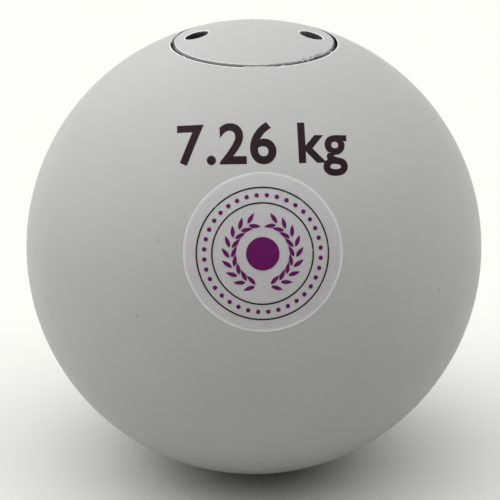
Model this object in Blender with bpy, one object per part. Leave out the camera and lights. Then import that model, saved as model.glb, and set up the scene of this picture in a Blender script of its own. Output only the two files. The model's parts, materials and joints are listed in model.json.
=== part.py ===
"""Shot put ball, men's competition size.

A thick turned steel ball is bored from the top, filled with lead up to its exact mass and
closed with a screw plug, whose domed head carries on the ball's own surface. Two blind holes
in the head take a pin spanner. The thread is drawn here as a plain cylinder at its mean
diameter, in the ball and on the plug alike.

Units are metres. The origin is the ball's centre, +Z is the plug's axis, pointing out of the
mouth, and the label looks towards -Y.
"""

from math import acos, atan2, asin, cos, pi, radians, sin, sqrt, tan

import bmesh
import bpy

# Ball
BALL_DIAMETER = 0.1200
BOTTOM_WALL = 0.0150
MOUTH_CHAMFER = 0.0002

# Right-handed screw thread
THREAD_DIAMETER = 0.0400
THREAD_PITCH = 0.0020
THREAD_LENGTH = 0.0140
THREAD_PLAY = 0.0003
THREAD_LEAD_IN = 0.0010
RELIEF_LENGTH = 0.0030
RELIEF_DEPTH = 0.0008

# Mouth of the ball and head of the plug
MOUTH_STEP = 0.0013
HEAD_CLEARANCE = 0.00045
HEAD_RIM = 0.0050
HEAD_EDGE_RADIUS = 0.0006
HEAD_UNDERSIDE_CHAMFER = 0.0003

# Blind holes for the pin spanner
SPANNER_PITCH = 0.0292
SPANNER_HOLE_DIAMETER = 0.0060
SPANNER_FLOOR = 0.0015

# Rubber seal under the head, and the gap between pieces that touch
SEAL_CORD = 0.0021
SEAT_GAP = 0.0003

# Weight cavity and what fills it
LEDGE_WIDTH = 0.0030
DRILL_POINT_ANGLE = radians(118)
PACKING_THICKNESS = 0.0030
TRIM_THICKNESSES = {"thin": 0.0010, "middle": 0.0020, "thick": 0.0040}
FILL_EDGE_CHAMFER = 0.0003
LEAD_SHRINK_DISH = 0.0008

# Round film label
LABEL_DIAMETER = 0.0390
LABEL_THICKNESS = 0.00015
LABEL_GAP = 0.00025
LABEL_ELEVATION = radians(20.2)
LABEL_BEARING = radians(2.3)

# How finely round shapes are divided
BALL_SIDES = 72
PLUG_SIDES = 72
RING_SIDES = 48
CORD_SIDES = 12
HOLE_SIDES = 24
EDGE_STEPS = 4
ROW_ANGLE = radians(5)

# Radii that follow from the sizes above
BALL_RADIUS = BALL_DIAMETER / 2
THREAD_MEAN_RADIUS = THREAD_DIAMETER / 2 - THREAD_PITCH * 3 * sqrt(3) / 16
BORE_RADIUS = THREAD_MEAN_RADIUS + THREAD_PLAY / 2
SHANK_RADIUS = THREAD_MEAN_RADIUS - THREAD_PLAY / 2
RELIEF_RADIUS = BORE_RADIUS + RELIEF_DEPTH
MOUTH_RADIUS = THREAD_DIAMETER / 2 + MOUTH_STEP
HEAD_RADIUS = MOUTH_RADIUS - HEAD_CLEARANCE
NECK_RADIUS = MOUTH_RADIUS - SEAL_CORD - 2 * SEAT_GAP
CAVITY_RADIUS = BORE_RADIUS - LEDGE_WIDTH
FILL_RADIUS = CAVITY_RADIUS - SEAT_GAP

# Heights along the axis, from the mouth downwards
MOUTH_Z = sqrt(BALL_RADIUS**2 - MOUTH_RADIUS**2)
HEAD_UNDERSIDE_Z = MOUTH_Z - HEAD_RIM
SHOULDER_Z = HEAD_UNDERSIDE_Z - SEAL_CORD - 2 * SEAT_GAP
LEDGE_Z = SHOULDER_Z - THREAD_LENGTH
PLUG_END_Z = LEDGE_Z + SEAT_GAP
PACKING_TOP_Z = LEDGE_Z
POINT_SLOPE = 1 / tan(DRILL_POINT_ANGLE / 2)
POINT_Z = BOTTOM_WALL - BALL_RADIUS
CAVITY_FLOOR_Z = POINT_Z + CAVITY_RADIUS * POINT_SLOPE


def arc(centre, radius, start, end, steps):
    """Points (r, z) along a round stretch, from angle start to angle end, both included."""
    turn = (end - start) / steps
    angles = [start + turn * i for i in range(steps + 1)]
    return [(centre[0] + radius * cos(a), centre[1] + radius * sin(a)) for a in angles]


def rows(angle):
    """How many rows of about ROW_ANGLE a round stretch of this angle is divided into."""
    return max(2, round(angle / ROW_ANGLE))


def material(name, colour, roughness, metallic, alpha=1.0):
    """A Principled material."""
    made = bpy.data.materials.new(name)
    made.use_nodes = True
    shader = made.node_tree.nodes["Principled BSDF"]
    shader.inputs["Base Color"].default_value = (*colour, 1.0)
    shader.inputs["Roughness"].default_value = roughness
    shader.inputs["Metallic"].default_value = metallic
    shader.inputs["Alpha"].default_value = alpha
    return made


def empty_at(name, parent=None, height=0.0, rotation=(0.0, 0.0, 0.0)):
    """An empty on which the pieces of one axis are placed."""
    empty = bpy.data.objects.new(name, None)
    empty.empty_display_size = BALL_RADIUS / 4
    empty.location.z = height
    empty.rotation_euler = rotation
    empty.parent = parent
    bpy.context.collection.objects.link(empty)
    return empty


def turned(name, profile, sides, finish, parent, height=0.0):
    """A piece turned on the lathe: a profile of points (r, z), spun round the parent's Z axis.

    A solid piece's profile starts and ends on the axis. A ring's repeats its first point.
    """
    work = bmesh.new()
    verts = [work.verts.new((r, 0.0, z)) for r, z in profile]
    edges = [work.edges.new(pair) for pair in zip(verts, verts[1:])]
    bmesh.ops.spin(
        work, geom=verts + edges, cent=(0, 0, 0), axis=(0, 0, 1), angle=2 * pi, steps=sides
    )
    bmesh.ops.remove_doubles(work, verts=work.verts, dist=1e-6)
    bmesh.ops.recalc_face_normals(work, faces=work.faces)
    mesh = bpy.data.meshes.new(name)
    work.to_mesh(mesh)
    work.free()
    mesh.shade_smooth()
    mesh.set_sharp_from_angle(angle=radians(25))
    mesh.materials.append(finish)
    piece = bpy.data.objects.new(name, mesh)
    piece.location.z = height
    piece.parent = parent
    bpy.context.collection.objects.link(piece)
    return piece


def make_shell(finish, parent):
    """The ball. Its profile runs up the cavity, over the ledge, through the bore and the seal
    pocket to the mouth, and down the outside."""
    rim_angle = acos((MOUTH_RADIUS + MOUTH_CHAMFER) / BALL_RADIUS)
    lead_in = THREAD_LEAD_IN / 2
    inside = [
        (0.0, POINT_Z),
        (CAVITY_RADIUS, CAVITY_FLOOR_Z),
        (CAVITY_RADIUS, LEDGE_Z),
        (RELIEF_RADIUS, LEDGE_Z),
        (RELIEF_RADIUS, LEDGE_Z + RELIEF_LENGTH - RELIEF_DEPTH),
        (BORE_RADIUS, LEDGE_Z + RELIEF_LENGTH),
        (BORE_RADIUS, SHOULDER_Z - lead_in),
        (BORE_RADIUS + lead_in, SHOULDER_Z),
        (MOUTH_RADIUS, SHOULDER_Z),
        (MOUTH_RADIUS, MOUTH_Z - MOUTH_CHAMFER),
    ]
    upper = arc((0, 0), BALL_RADIUS, rim_angle, 0, rows(rim_angle))
    lower = arc((0, 0), BALL_RADIUS, 0, -pi / 2, rows(pi / 2))
    return turned("shell", inside + upper + lower[1:], BALL_SIDES, finish, parent)


def make_closing_plug(finish, parent):
    """The screw plug, with its end face at height 0: domed head, neck for the seal, shank."""
    edge_centre_r = HEAD_RADIUS - HEAD_EDGE_RADIUS
    edge_centre_z = sqrt((BALL_RADIUS - HEAD_EDGE_RADIUS) ** 2 - edge_centre_r**2)
    edge_angle = atan2(edge_centre_z, edge_centre_r)
    dome = arc((0, -PLUG_END_Z), BALL_RADIUS, pi / 2, edge_angle, rows(pi / 2 - edge_angle))
    edge = arc(
        (edge_centre_r, edge_centre_z - PLUG_END_Z), HEAD_EDGE_RADIUS, edge_angle, 0, EDGE_STEPS
    )
    underside = HEAD_UNDERSIDE_Z - PLUG_END_Z
    neck_foot = SHOULDER_Z - PLUG_END_Z
    below = [
        (HEAD_RADIUS, underside + HEAD_UNDERSIDE_CHAMFER),
        (HEAD_RADIUS - HEAD_UNDERSIDE_CHAMFER, underside),
        (NECK_RADIUS, underside),
        (NECK_RADIUS, neck_foot),
        (SHANK_RADIUS, neck_foot - (SHANK_RADIUS - NECK_RADIUS)),
        (SHANK_RADIUS, THREAD_LEAD_IN),
        (SHANK_RADIUS - THREAD_LEAD_IN, 0.0),
        (0.0, 0.0),
    ]
    profile = dome[:-1] + edge + below
    return turned("closing_plug", profile, PLUG_SIDES, finish, parent, PLUG_END_Z - LEDGE_Z)


def cut_spanner_hole(plug, side, parent):
    """One blind, flat-bottomed hole in the head. side is -1 for the left hole, 1 for the right."""
    floor_z = HEAD_UNDERSIDE_Z + SPANNER_FLOOR
    depth = BALL_RADIUS + HEAD_RIM - floor_z
    work = bmesh.new()
    bmesh.ops.create_cone(
        work,
        cap_ends=True,
        segments=HOLE_SIDES,
        radius1=SPANNER_HOLE_DIAMETER / 2,
        radius2=SPANNER_HOLE_DIAMETER / 2,
        depth=depth,
    )
    name = "left" if side < 0 else "right"
    mesh = bpy.data.meshes.new(f"spanner_hole_{name}")
    work.to_mesh(mesh)
    work.free()
    cutter = bpy.data.objects.new(mesh.name, mesh)
    cutter.location = (side * SPANNER_PITCH / 2, 0.0, floor_z + depth / 2 - LEDGE_Z)
    cutter.parent = parent
    cutter.hide_render = True
    cutter.display_type = "WIRE"
    bpy.context.collection.objects.link(cutter)
    cut = plug.modifiers.new(mesh.name, "BOOLEAN")
    cut.operation = "DIFFERENCE"
    cut.solver = "EXACT"
    cut.object = cutter


def make_seal_ring(finish, parent):
    """A round-section rubber ring in the pocket between the head's underside and the shoulder."""
    cord_radius = SEAL_CORD / 2
    centre_r = NECK_RADIUS + SEAT_GAP + cord_radius
    section = arc((centre_r, 0), cord_radius, 0, 2 * pi, CORD_SIDES)
    height = SHOULDER_Z + SEAT_GAP + cord_radius - LEDGE_Z
    return turned("seal_ring", section, RING_SIDES, finish, parent, height)


def make_disc(name, thickness, top, finish, parent):
    """A flat disc that fills the cavity's bore, with its top face at the height given."""
    profile = [
        (0.0, 0.0),
        (FILL_RADIUS - FILL_EDGE_CHAMFER, 0.0),
        (FILL_RADIUS, FILL_EDGE_CHAMFER),
        (FILL_RADIUS, thickness - FILL_EDGE_CHAMFER),
        (FILL_RADIUS - FILL_EDGE_CHAMFER, thickness),
        (0.0, thickness),
    ]
    return turned(name, profile, RING_SIDES, finish, parent, top - thickness)


def make_lead_core(top, finish, parent):
    """The cast slug. It ends in the drill point's cone, and its top sinks where lead shrinks."""
    point_z = POINT_Z + SEAT_GAP * sqrt(1 + POINT_SLOPE**2)
    length = top - point_z
    rim = FILL_RADIUS - FILL_EDGE_CHAMFER
    dish_radius = (rim**2 + LEAD_SHRINK_DISH**2) / (2 * LEAD_SHRINK_DISH)
    dish_centre = (0, length - LEAD_SHRINK_DISH + dish_radius)
    dish = arc(dish_centre, dish_radius, asin(rim / dish_radius) - pi / 2, -pi / 2, EDGE_STEPS)
    body = [
        (0.0, 0.0),
        (FILL_RADIUS, FILL_RADIUS * POINT_SLOPE),
        (FILL_RADIUS, length - FILL_EDGE_CHAMFER),
    ]
    return turned("lead_core", body + dish, RING_SIDES, finish, parent, point_z)


def make_filling(lead, rubber, parent):
    """What fills the cavity, from the plug's end face down: packing, trim discs, lead core."""
    make_disc("packing_disc", PACKING_THICKNESS, PACKING_TOP_Z, rubber, parent)
    top = PACKING_TOP_Z - PACKING_THICKNESS - SEAT_GAP
    for size, thickness in TRIM_THICKNESSES.items():
        make_disc(f"trim_disc_{size}", thickness, top, lead, parent)
        top -= thickness + SEAT_GAP
    make_lead_core(top, lead, parent)


def make_round_label(finish, parent):
    """The film label, a thin cap of a sphere round the parent's Z axis, just off the ball."""
    half_angle = LABEL_DIAMETER / 2 / BALL_RADIUS
    inner = BALL_RADIUS + LABEL_GAP
    outer = inner + LABEL_THICKNESS
    steps = rows(half_angle)
    front = arc((0, 0), outer, pi / 2, pi / 2 - half_angle, steps)
    back = arc((0, 0), inner, pi / 2 - half_angle, pi / 2, steps)
    return turned("round_label", front + back, RING_SIDES, finish, parent)


def main():
    for old in list(bpy.data.objects):
        bpy.data.objects.remove(old)

    paint = material("silver_grey_paint", (0.56, 0.56, 0.54), 0.38, 0.35)
    rubber = material("black_rubber", (0.03, 0.03, 0.03), 0.70, 0.0)
    lead = material("cast_lead", (0.22, 0.23, 0.25), 0.55, 0.9)
    film = material("clear_film", (0.70, 0.71, 0.72), 0.25, 0.0, 0.45)

    ball_centre = empty_at("ball_centre")
    plug_axis = empty_at("plug_axis", ball_centre, LEDGE_Z)
    label_tilt = (pi / 2 - LABEL_ELEVATION, 0.0, LABEL_BEARING)
    label_axis = empty_at("label_axis", ball_centre, rotation=label_tilt)

    make_shell(paint, ball_centre)
    make_filling(lead, rubber, ball_centre)
    make_seal_ring(rubber, plug_axis)
    plug = make_closing_plug(paint, plug_axis)
    for side in (-1, 1):
        cut_spanner_hole(plug, side, plug_axis)
    make_round_label(film, label_axis)


main()
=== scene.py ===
"""Looks of a competition shot put ball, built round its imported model.

Units are metres. The origin is the ball's centre, and +Z is the closing plug's axis, out of the
mouth. The round label looks towards -Y, where the camera stands. Every surface but the printed mass
is a function of two parameters, worked out as whole numpy arrays.
"""

import json
import math

import bmesh
import bpy
import numpy as np
from bpy.props import FloatProperty, FloatVectorProperty, IntProperty, PointerProperty, StringProperty
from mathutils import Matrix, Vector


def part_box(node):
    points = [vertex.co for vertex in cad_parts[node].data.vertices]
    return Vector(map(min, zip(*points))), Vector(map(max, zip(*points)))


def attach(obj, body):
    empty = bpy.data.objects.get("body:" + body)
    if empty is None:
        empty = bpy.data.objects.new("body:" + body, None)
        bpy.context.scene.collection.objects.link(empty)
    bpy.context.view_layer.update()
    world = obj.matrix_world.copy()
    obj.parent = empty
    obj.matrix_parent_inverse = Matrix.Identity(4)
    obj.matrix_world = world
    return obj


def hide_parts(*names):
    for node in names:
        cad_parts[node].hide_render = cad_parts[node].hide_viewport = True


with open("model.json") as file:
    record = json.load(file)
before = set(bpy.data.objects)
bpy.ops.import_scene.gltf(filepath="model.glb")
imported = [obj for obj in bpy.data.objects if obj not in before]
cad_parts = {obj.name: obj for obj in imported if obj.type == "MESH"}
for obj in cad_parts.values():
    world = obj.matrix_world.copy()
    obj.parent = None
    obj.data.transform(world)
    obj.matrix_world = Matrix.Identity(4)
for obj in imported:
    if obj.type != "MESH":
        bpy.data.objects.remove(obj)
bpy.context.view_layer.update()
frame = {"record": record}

bl_info = {
    "name": "Shot put ball",
    "version": (1, 0, 0),
    "blender": (4, 5, 0),
    "location": "View3D > Sidebar > Shot put ball",
    "description": "Builds a turned steel shot put ball with its screw plug, label and prints",
    "category": "Add Mesh",
}

# What the frame says
RECORD = frame["record"]
SHELL_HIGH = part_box("shell")[1]
PLUG_LOW, PLUG_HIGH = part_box("closing_plug")
SEAL_LOW, SEAL_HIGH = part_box("seal_ring")
LEAD_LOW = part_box("lead_core")[0]
FILL_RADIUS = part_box("packing_disc")[1].x
SPANNER_FLOOR = next(m["pos_m"] for m in RECORD["mounts"] if m["name"] == "spanner_hole_right")
LIFT_PER_RADIAN = RECORD["behaviour"]["couplings"][0]["ratio"]

# Radii and heights that follow from the frame
SEAT_GAP = 0.0003
BALL_RADIUS = SHELL_HIGH.x
RIM_Z = SHELL_HIGH.z
RIM_RADIUS = math.sqrt(BALL_RADIUS**2 - RIM_Z**2)
HEAD_RADIUS = PLUG_HIGH.x
POCKET_RADIUS = SEAL_HIGH.x + SEAT_GAP
CORD_RADIUS = (SEAL_HIGH.z - SEAL_LOW.z) / 2
NECK_RADIUS = POCKET_RADIUS - 2 * CORD_RADIUS - 2 * SEAT_GAP
UNDERSIDE_Z = SEAL_HIGH.z + SEAT_GAP
SHOULDER_Z = SEAL_LOW.z - SEAT_GAP
PLUG_END_Z = PLUG_LOW.z
LEDGE_Z = PLUG_END_Z - SEAT_GAP
CAVITY_RADIUS = FILL_RADIUS + SEAT_GAP
POINT_SLOPE = 1 / math.tan(math.radians(118 / 2))
POINT_Z = LEAD_LOW.z - SEAT_GAP * math.sqrt(1 + POINT_SLOPE**2)
HOLE_X, _, HOLE_FLOOR_Z = SPANNER_FLOOR

MM = 0.001
# Points in one cell of this size are one point. The shift, in cells, keeps cell edges off round
# values.
MERGE_STEP = 1e-7
MERGE_SHIFT = 0.37
# Edges that turn by more than this are sharp, in degrees
SHARP_ANGLE = 30


def length(name, default, description):
    """A size that a user would change."""
    return FloatProperty(
        name=name, default=default, description=description, unit="LENGTH", precision=5, min=0.0
    )


def angle(name, degrees, description):
    """An angle that a user would change."""
    return FloatProperty(
        name=name, default=math.radians(degrees), description=description, subtype="ANGLE"
    )


def colour(name, default, description):
    """A colour that a user would change."""
    return FloatVectorProperty(
        name=name, default=default, description=description, subtype="COLOR", size=3, min=0.0, max=1.0
    )


class ShotThread(bpy.types.PropertyGroup):
    """Sizes of the thread and of the edges near it"""

    diameter: length("Thread diameter", 0.0400, "Across the plug's crests")
    pitch: length("Pitch", 2 * math.pi * LIFT_PER_RADIAN, "Rise of the plug in one turn")
    play: length("Play", 0.00010, "Gap between the plug's thread and the ball's, on the radius")
    relief: length("Relief", 0.0030, "Height of the groove below the ball's thread")
    relief_radius: length("Relief radius", 0.0203, "Radius of that groove")
    lead_in: length("Lead-in", 0.0010, "Chamfer at the thread's first turn")


class ShotMouth(bpy.types.PropertyGroup):
    """Sizes of the mouth, the plug's head and the spanner holes"""

    head_edge: length("Head edge", 0.0009, "Rounding of the plug's outer edge")
    head_foot: length("Head foot", 0.0003, "Chamfer under the plug's head")
    hole_diameter: length("Hole diameter", 0.0060, "Width of the spanner holes")
    hole_lip: length("Hole lip", 0.00020, "Rounding of the holes' lips")
    bridge: length("Paint bridge", 0.00040, "How far paint has closed the gap round the plug")
    chip: length("Chips", 0.00030, "Depth of the chips in the plug's outer edge")


class ShotFilling(bpy.types.PropertyGroup):
    """Shapes of the packing, the trim discs and the lead"""

    edge: length("Edge", 0.0003, "Rounding of the pieces' edges")
    dish: length("Dish", 0.0008, "How far the lead's top sinks in as it sets")
    ripple: length("Ripples", 0.00005, "Height of the rings on the lead's top")
    dents: length("Dents", 0.00008, "Depth of the dents in cast lead")


class ShotLabel(bpy.types.PropertyGroup):
    """Sizes of the round film label and its prints"""

    elevation: angle("Elevation", 20.2, "Height of the label's middle above the ball's equator")
    bearing: angle("Bearing", 2.3, "Turn of the label's middle from -Y towards +X")
    radius: length("Radius", 0.0195, "Radius of the film, along the ball")
    lift: length("Lift", 0.00002, "Height of the film's underside over the paint")
    thickness: length("Thickness", 0.00010, "Thickness of the film")
    crease: length("Creases", 0.00005, "Height of the creases in the film")
    ring_outer: length("Outer ring", 0.0160, "Radius of the outer printed ring")
    ring_inner: length("Inner ring", 0.0122, "Radius of the inner printed ring")
    ring_width: length("Ring width", 0.00036, "Width of the printed rings")
    ink: length("Ink", 0.000012, "Thickness of the printed ink")
    dots: IntProperty(name="Dots", default=36, min=3, description="Dots between the rings")
    dot_radius: length("Dot radius", 0.00055, "Radius of one dot")
    wreath_radius: length("Wreath radius", 0.0078, "Radius of the wreath's stem")
    leaves: IntProperty(name="Leaves", default=9, min=2, description="Leaf pairs on each branch")
    leaf: length("Leaf", 0.0030, "Length of one leaf")
    disc_radius: length("Disc", 0.0040, "Radius of the disc inside the wreath")


class ShotMark(bpy.types.PropertyGroup):
    """Place and size of the printed mass"""

    text: StringProperty(name="Text", default="7.26 kg", description="The mass that is printed")
    elevation: angle("Elevation", 46.4, "Height of the mark's middle above the ball's equator")
    bearing: angle("Bearing", 3.0, "Turn of the mark's middle from -Y towards +X")
    width: length("Width", 0.0420, "Length of the line, along the ball")
    height: length("Height", 0.0110, "Height of the figures, along the ball")
    bow: length("Bow", 0.0017, "How far the line's ends are raised, so that it looks level")


class ShotFinish(bpy.types.PropertyGroup):
    """Colours of the materials"""

    paint: colour("Paint", (0.362, 0.36, 0.348), "Silver-grey paint of the ball and the plug")
    steel: colour("Steel", (0.50, 0.48, 0.46), "Turned steel of the thread and the mouth's edge")
    rubber: colour("Rubber", (0.02, 0.02, 0.02), "Seal ring and packing disc")
    lead: colour("Lead", (0.19, 0.20, 0.22), "Cast lead of the filling")
    film: colour("Film", (0.69, 0.685, 0.71), "Clear film of the round label")
    purple: colour("Purple ink", (0.083, 0.0045, 0.069), "Ink of the wreath and the dots")
    dark: colour("Dark ink", (0.011, 0.003, 0.005), "Ink of the mass and the rings")


class ShotStudio(bpy.types.PropertyGroup):
    """Camera and light"""

    elevation: angle("Elevation", 21.5, "Height of the camera above the ball's equator")
    distance: length("Distance", 0.600, "From the camera to the ball's centre")
    lens: FloatProperty(name="Lens", default=163.0, description="Focal length in millimetres")
    floor_radius: length("Floor", 3.0, "Radius of the floor")


def sizes(group):
    """One of the scene's property groups, such as "thread"."""
    return getattr(bpy.context.scene, f"shot_{group}")


# Surfaces

def line(start, end, steps):
    """Points (r, z) of a straight stretch, without its end, which starts the next stretch."""
    share = np.arange(steps)[:, None] / steps
    return np.array(start) + share * (np.array(end) - np.array(start))


def polyline(corners, steps):
    """Points (r, z) of straight stretches from corner to corner, each in its own number of steps,
    without the last corner."""
    return np.concatenate([line(*ends, count) for *ends, count in zip(corners, corners[1:], steps)])


def bend(centre, radius, start, end, steps):
    """Points (r, z) of a round stretch, from angle start to angle end, without its end."""
    turn = start + (end - start) * np.arange(steps) / steps
    return np.array(centre) + radius * np.stack([np.cos(turn), np.sin(turn)], axis=1)


def column_angles(columns):
    """The angle of each column of a turned grid, from +X towards +Y."""
    return 2 * np.pi * np.arange(columns) / columns


def turned_points(radius, height):
    """Points of a turned grid: each one lies at its own radius and height, at its column's angle."""
    around = column_angles(radius.shape[1])
    return np.stack([radius * np.cos(around), radius * np.sin(around), height], axis=-1)


def spread(section, columns):
    """Radius and height of a turned grid, whose rows are the section's points (r, z)."""
    return [np.repeat(part[:, None], columns, 1) for part in section.T]


def wrapped_quads(index):
    """Quads of a grid of vertex numbers whose last column joins the first. They face away from the
    axis where the rows run downwards."""
    beside = np.roll(index, -1, axis=1)
    return np.stack([index[:-1], index[1:], beside[1:], beside[:-1]], axis=-1)


def open_quads(index):
    """Quads of a grid of vertex numbers whose columns don't close."""
    return np.stack([index[:-1, :-1], index[1:, :-1], index[1:, 1:], index[:-1, 1:]], axis=-1)


def merged(points, quads):
    """Merges points that lie together, which closes seams and poles. Returns the points in use, the
    quads that keep four corners and the triangles that others become."""
    used, quads = np.unique(quads, return_inverse=True)
    points, quads = points[used], quads.reshape(-1, 4)
    cells = np.floor(points / MERGE_STEP + MERGE_SHIFT).astype(np.int64)
    _, first, number = np.unique(cells, axis=0, return_index=True, return_inverse=True)
    quads = number.reshape(-1)[quads]
    doubled = quads == np.roll(quads, -1, axis=1)
    count = doubled.sum(1)
    slim = count == 1
    return points[first], quads[count == 0], quads[slim][~doubled[slim]].reshape(-1, 3)


def mesh_piece(name, points, quads, finish):
    """A mesh object from points (n, 3) and quads (m, 4)."""
    points, *groups = merged(points, quads)
    corners = np.concatenate([group.ravel() for group in groups])
    counts = np.concatenate([np.full(len(group), group.shape[1]) for group in groups])
    mesh = bpy.data.meshes.new(name)
    mesh.vertices.add(len(points))
    mesh.vertices.foreach_set("co", points.ravel())
    mesh.loops.add(len(corners))
    mesh.loops.foreach_set("vertex_index", corners)
    mesh.polygons.add(len(counts))
    mesh.polygons.foreach_set("loop_start", np.cumsum(counts) - counts)
    mesh.update(calc_edges=True)
    mesh.shade_smooth()
    mesh.set_sharp_from_angle(angle=math.radians(SHARP_ANGLE))
    mesh.materials.append(finish)
    piece = bpy.data.objects.new(name, mesh)
    bpy.context.scene.collection.objects.link(piece)
    return piece


def grid_piece(name, grid, finish, closed=False):
    """A piece from one grid of points (rows, columns, 3), whose rows also close where asked."""
    rows, columns = grid.shape[:2]
    index = np.arange(rows * columns).reshape(rows, columns)
    if closed:
        index = np.concatenate([index, index[:1]])
    return mesh_piece(name, grid.reshape(-1, 3), wrapped_quads(index).reshape(-1, 4), finish)


def corner_array(mesh):
    """The mesh's vertices as an array (n, 3)."""
    flat = np.empty(len(mesh.vertices) * 3)
    mesh.vertices.foreach_get("co", flat)
    return flat.reshape(-1, 3)


def mask(piece, name, values):
    """Stores one number per vertex, which the piece's material reads by name."""
    layer = piece.data.attributes.new(name, "FLOAT", "POINT")
    layer.data.foreach_set("value", np.clip(values, 0, 1).astype(np.float32))


def smooth_step(value):
    """0 below 0, 1 above 1, and a smooth ramp between."""
    share = np.clip(value, 0, 1)
    return share * share * (3 - 2 * share)


def bearing_of(around):
    """Angle from -Y towards +X, from -pi to pi, of an angle counted from +X."""
    return (around + 1.5 * np.pi) % (2 * np.pi) - np.pi


def between(value, low, high):
    """True where the value lies between two others."""
    return (value > low) & (value < high)


def bell(offset, width):
    """1 where the offset is 0, falling off over the width."""
    return np.exp(-((offset / width) ** 2))


def humps(bearing, places):
    """A sum of bells over the bearing. A place is a bearing and a half width in degrees, and a
    height."""
    degrees = np.degrees(bearing)
    return sum(height * bell(degrees - centre, width) for centre, width, height in places)


def stretch(bearing, start, end, fade_in, fade_out):
    """1 over the bearings between two, in degrees, with a smooth ramp inside each end."""
    degrees = np.degrees(bearing)
    return smooth_step((degrees - start) / fade_in) * smooth_step((end - degrees) / fade_out)


def ragged(around, seed, coarsest=20, finest=130):
    """A random wave of the angle that closes on itself, mostly between -1 and 1: sines of many
    counts with seeded phases."""
    waves = 24
    draw = np.random.default_rng(seed)
    counts = draw.integers(coarsest, finest, waves)[:, None]
    phases = draw.uniform(0, 2 * np.pi, waves)[:, None]
    wave = np.sin(counts * around.ravel() + phases).sum(0) / math.sqrt(waves)
    return wave.reshape(around.shape)


def thread_radius(height, around, crest):
    """Radius of a right-hand 60-degree thread: a saw of the height whose phase rises one pitch a
    turn, cut flat over an eighth of the pitch at the crest and a quarter at the root."""
    thread = sizes("thread")
    crest_flat, root_flat = 1 / 8, 1 / 4
    depth = thread.pitch * math.sqrt(3) / 2 * (1 - crest_flat - root_flat)
    phase = (height / thread.pitch - around / (2 * np.pi)) % 1.0
    share = (np.abs(2 * phase - 1) - root_flat) / (1 - crest_flat - root_flat)
    return crest - depth * (1 - np.clip(share, 0, 1))


# Ball, plug and seal

# Columns of the ball's and the plug's grids, rows of the plug's dome, and how near a surface a
# point counts as on it
COLUMNS = 320
DOME_ROWS = 36
SKIN = 0.02 * MM

# Paint in the gap. The long bridges have the bearings of their ends and the widths of their ramps,
# and the short ones have a bearing, a half width and a height, all bearings in degrees. They reach
# this deep into the mouth.
FRONT_BRIDGE = (-7.4, 9.5, 1.6, 2.0)
FRONT_LUMPS = ((11.0, 1.1, 0.85), (13.2, 0.8, 0.7))
LEFT_BRIDGE = (-114.0, -89.5, 6.0, 2.0)
LEFT_BRIDGE_HEIGHT = 0.9
SHORT_BRIDGES = ((19.9, 1.0, 0.8), (-55.7, 0.9, 0.9), (67.0, 1.5, 0.8))
BRIDGE_DEPTH = 0.45 * MM

# Chips in the head's edge: the bearing and half the width of the flaked place, in degrees, and how
# deep chips are elsewhere
CHIPS_AT = 47
CHIPS_REACH = 14
FEW_CHIPS = 0.12

# Half the width of the worn paint round the mouth, a lighter line that is also a painted highlight along
# the mouth's edge
RIM_WEAR_AND_HIGHLIGHT_WIDTH = 0.30 * MM


def paint_bridge(bearing):
    """How far paint has run into the gap at the mouth, from 0 to 1: one long bridge at the front,
    with lumps at its right end, short ones on both sides of it, and a long one at the left."""
    rough = 1 + 0.10 * ragged(bearing + np.pi, 5)
    front = np.maximum(stretch(bearing, *FRONT_BRIDGE) * rough, humps(bearing, FRONT_LUMPS))
    left = LEFT_BRIDGE_HEIGHT * stretch(bearing, *LEFT_BRIDGE)
    return np.clip(front + left + humps(bearing, SHORT_BRIDGES), 0, 1)


def ball_grid():
    """Radius and height of the ball's grid. Its rows run from the cavity's point up the cavity,
    over the ledge, through the thread and the seal's pocket to the mouth, and down the outside.
    The thread's rows get their radius last: the larger of the helical wave and the relief's and the
    lead-in's cones. A paint bridge narrows the mouth, and rises half as far."""
    thread, mouth = sizes("thread"), sizes("mouth")
    crest = thread.diameter / 2 + thread.play
    foot = POINT_Z + CAVITY_RADIUS * POINT_SLOPE
    edge = RIM_RADIUS - POCKET_RADIUS
    wall_top = RIM_Z - edge
    rim_angle = math.atan2(RIM_Z, RIM_RADIUS)
    shoulder_angle = rim_angle - math.radians(3)
    mouth_z = math.sqrt(BALL_RADIUS**2 - POCKET_RADIUS**2)
    cavity = [
        (0, POINT_Z),
        (CAVITY_RADIUS, foot),
        (CAVITY_RADIUS, LEDGE_Z),
        (thread.relief_radius, LEDGE_Z),
    ]
    pocket = [
        (crest, SHOULDER_Z),
        (POCKET_RADIUS, SHOULDER_Z),
        (POCKET_RADIUS, wall_top - MM),
        (POCKET_RADIUS, wall_top),
    ]
    section = np.concatenate([
        polyline(cavity, (8, 24, 3)),
        line((np.nan, LEDGE_Z), (np.nan, SHOULDER_Z), 112),
        polyline(pocket, (2, 8, 8)),
        bend((RIM_RADIUS, wall_top), edge, math.pi, math.pi / 2 + rim_angle / 8, 4),
        bend((0, 0), BALL_RADIUS, rim_angle, shoulder_angle, 10),
        bend((0, 0), BALL_RADIUS, shoulder_angle, 0, 46),
        bend((0, 0), BALL_RADIUS, 0, -math.pi / 2, 72),
        [(0, -BALL_RADIUS)],
    ])
    around = column_angles(COLUMNS)[None]
    radius, height = spread(section, COLUMNS)
    threaded = np.isnan(section[:, 0])
    z = height[threaded]
    relief_top = LEDGE_Z + thread.relief
    relief = np.minimum(thread.relief_radius, thread.relief_radius + (relief_top - MM - z))
    lead_in = crest - (SHOULDER_Z - z)
    radius[threaded] = np.maximum(thread_radius(z, around, crest), np.maximum(relief, lead_in))
    near = bell(mouth_z - height, BRIDGE_DEPTH) * (height > UNDERSIDE_Z)
    near *= radius < RIM_RADIUS + SKIN / 2
    bridge = mouth.bridge * paint_bridge(bearing_of(around)) * near
    return radius - bridge, height + 0.5 * bridge


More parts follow.
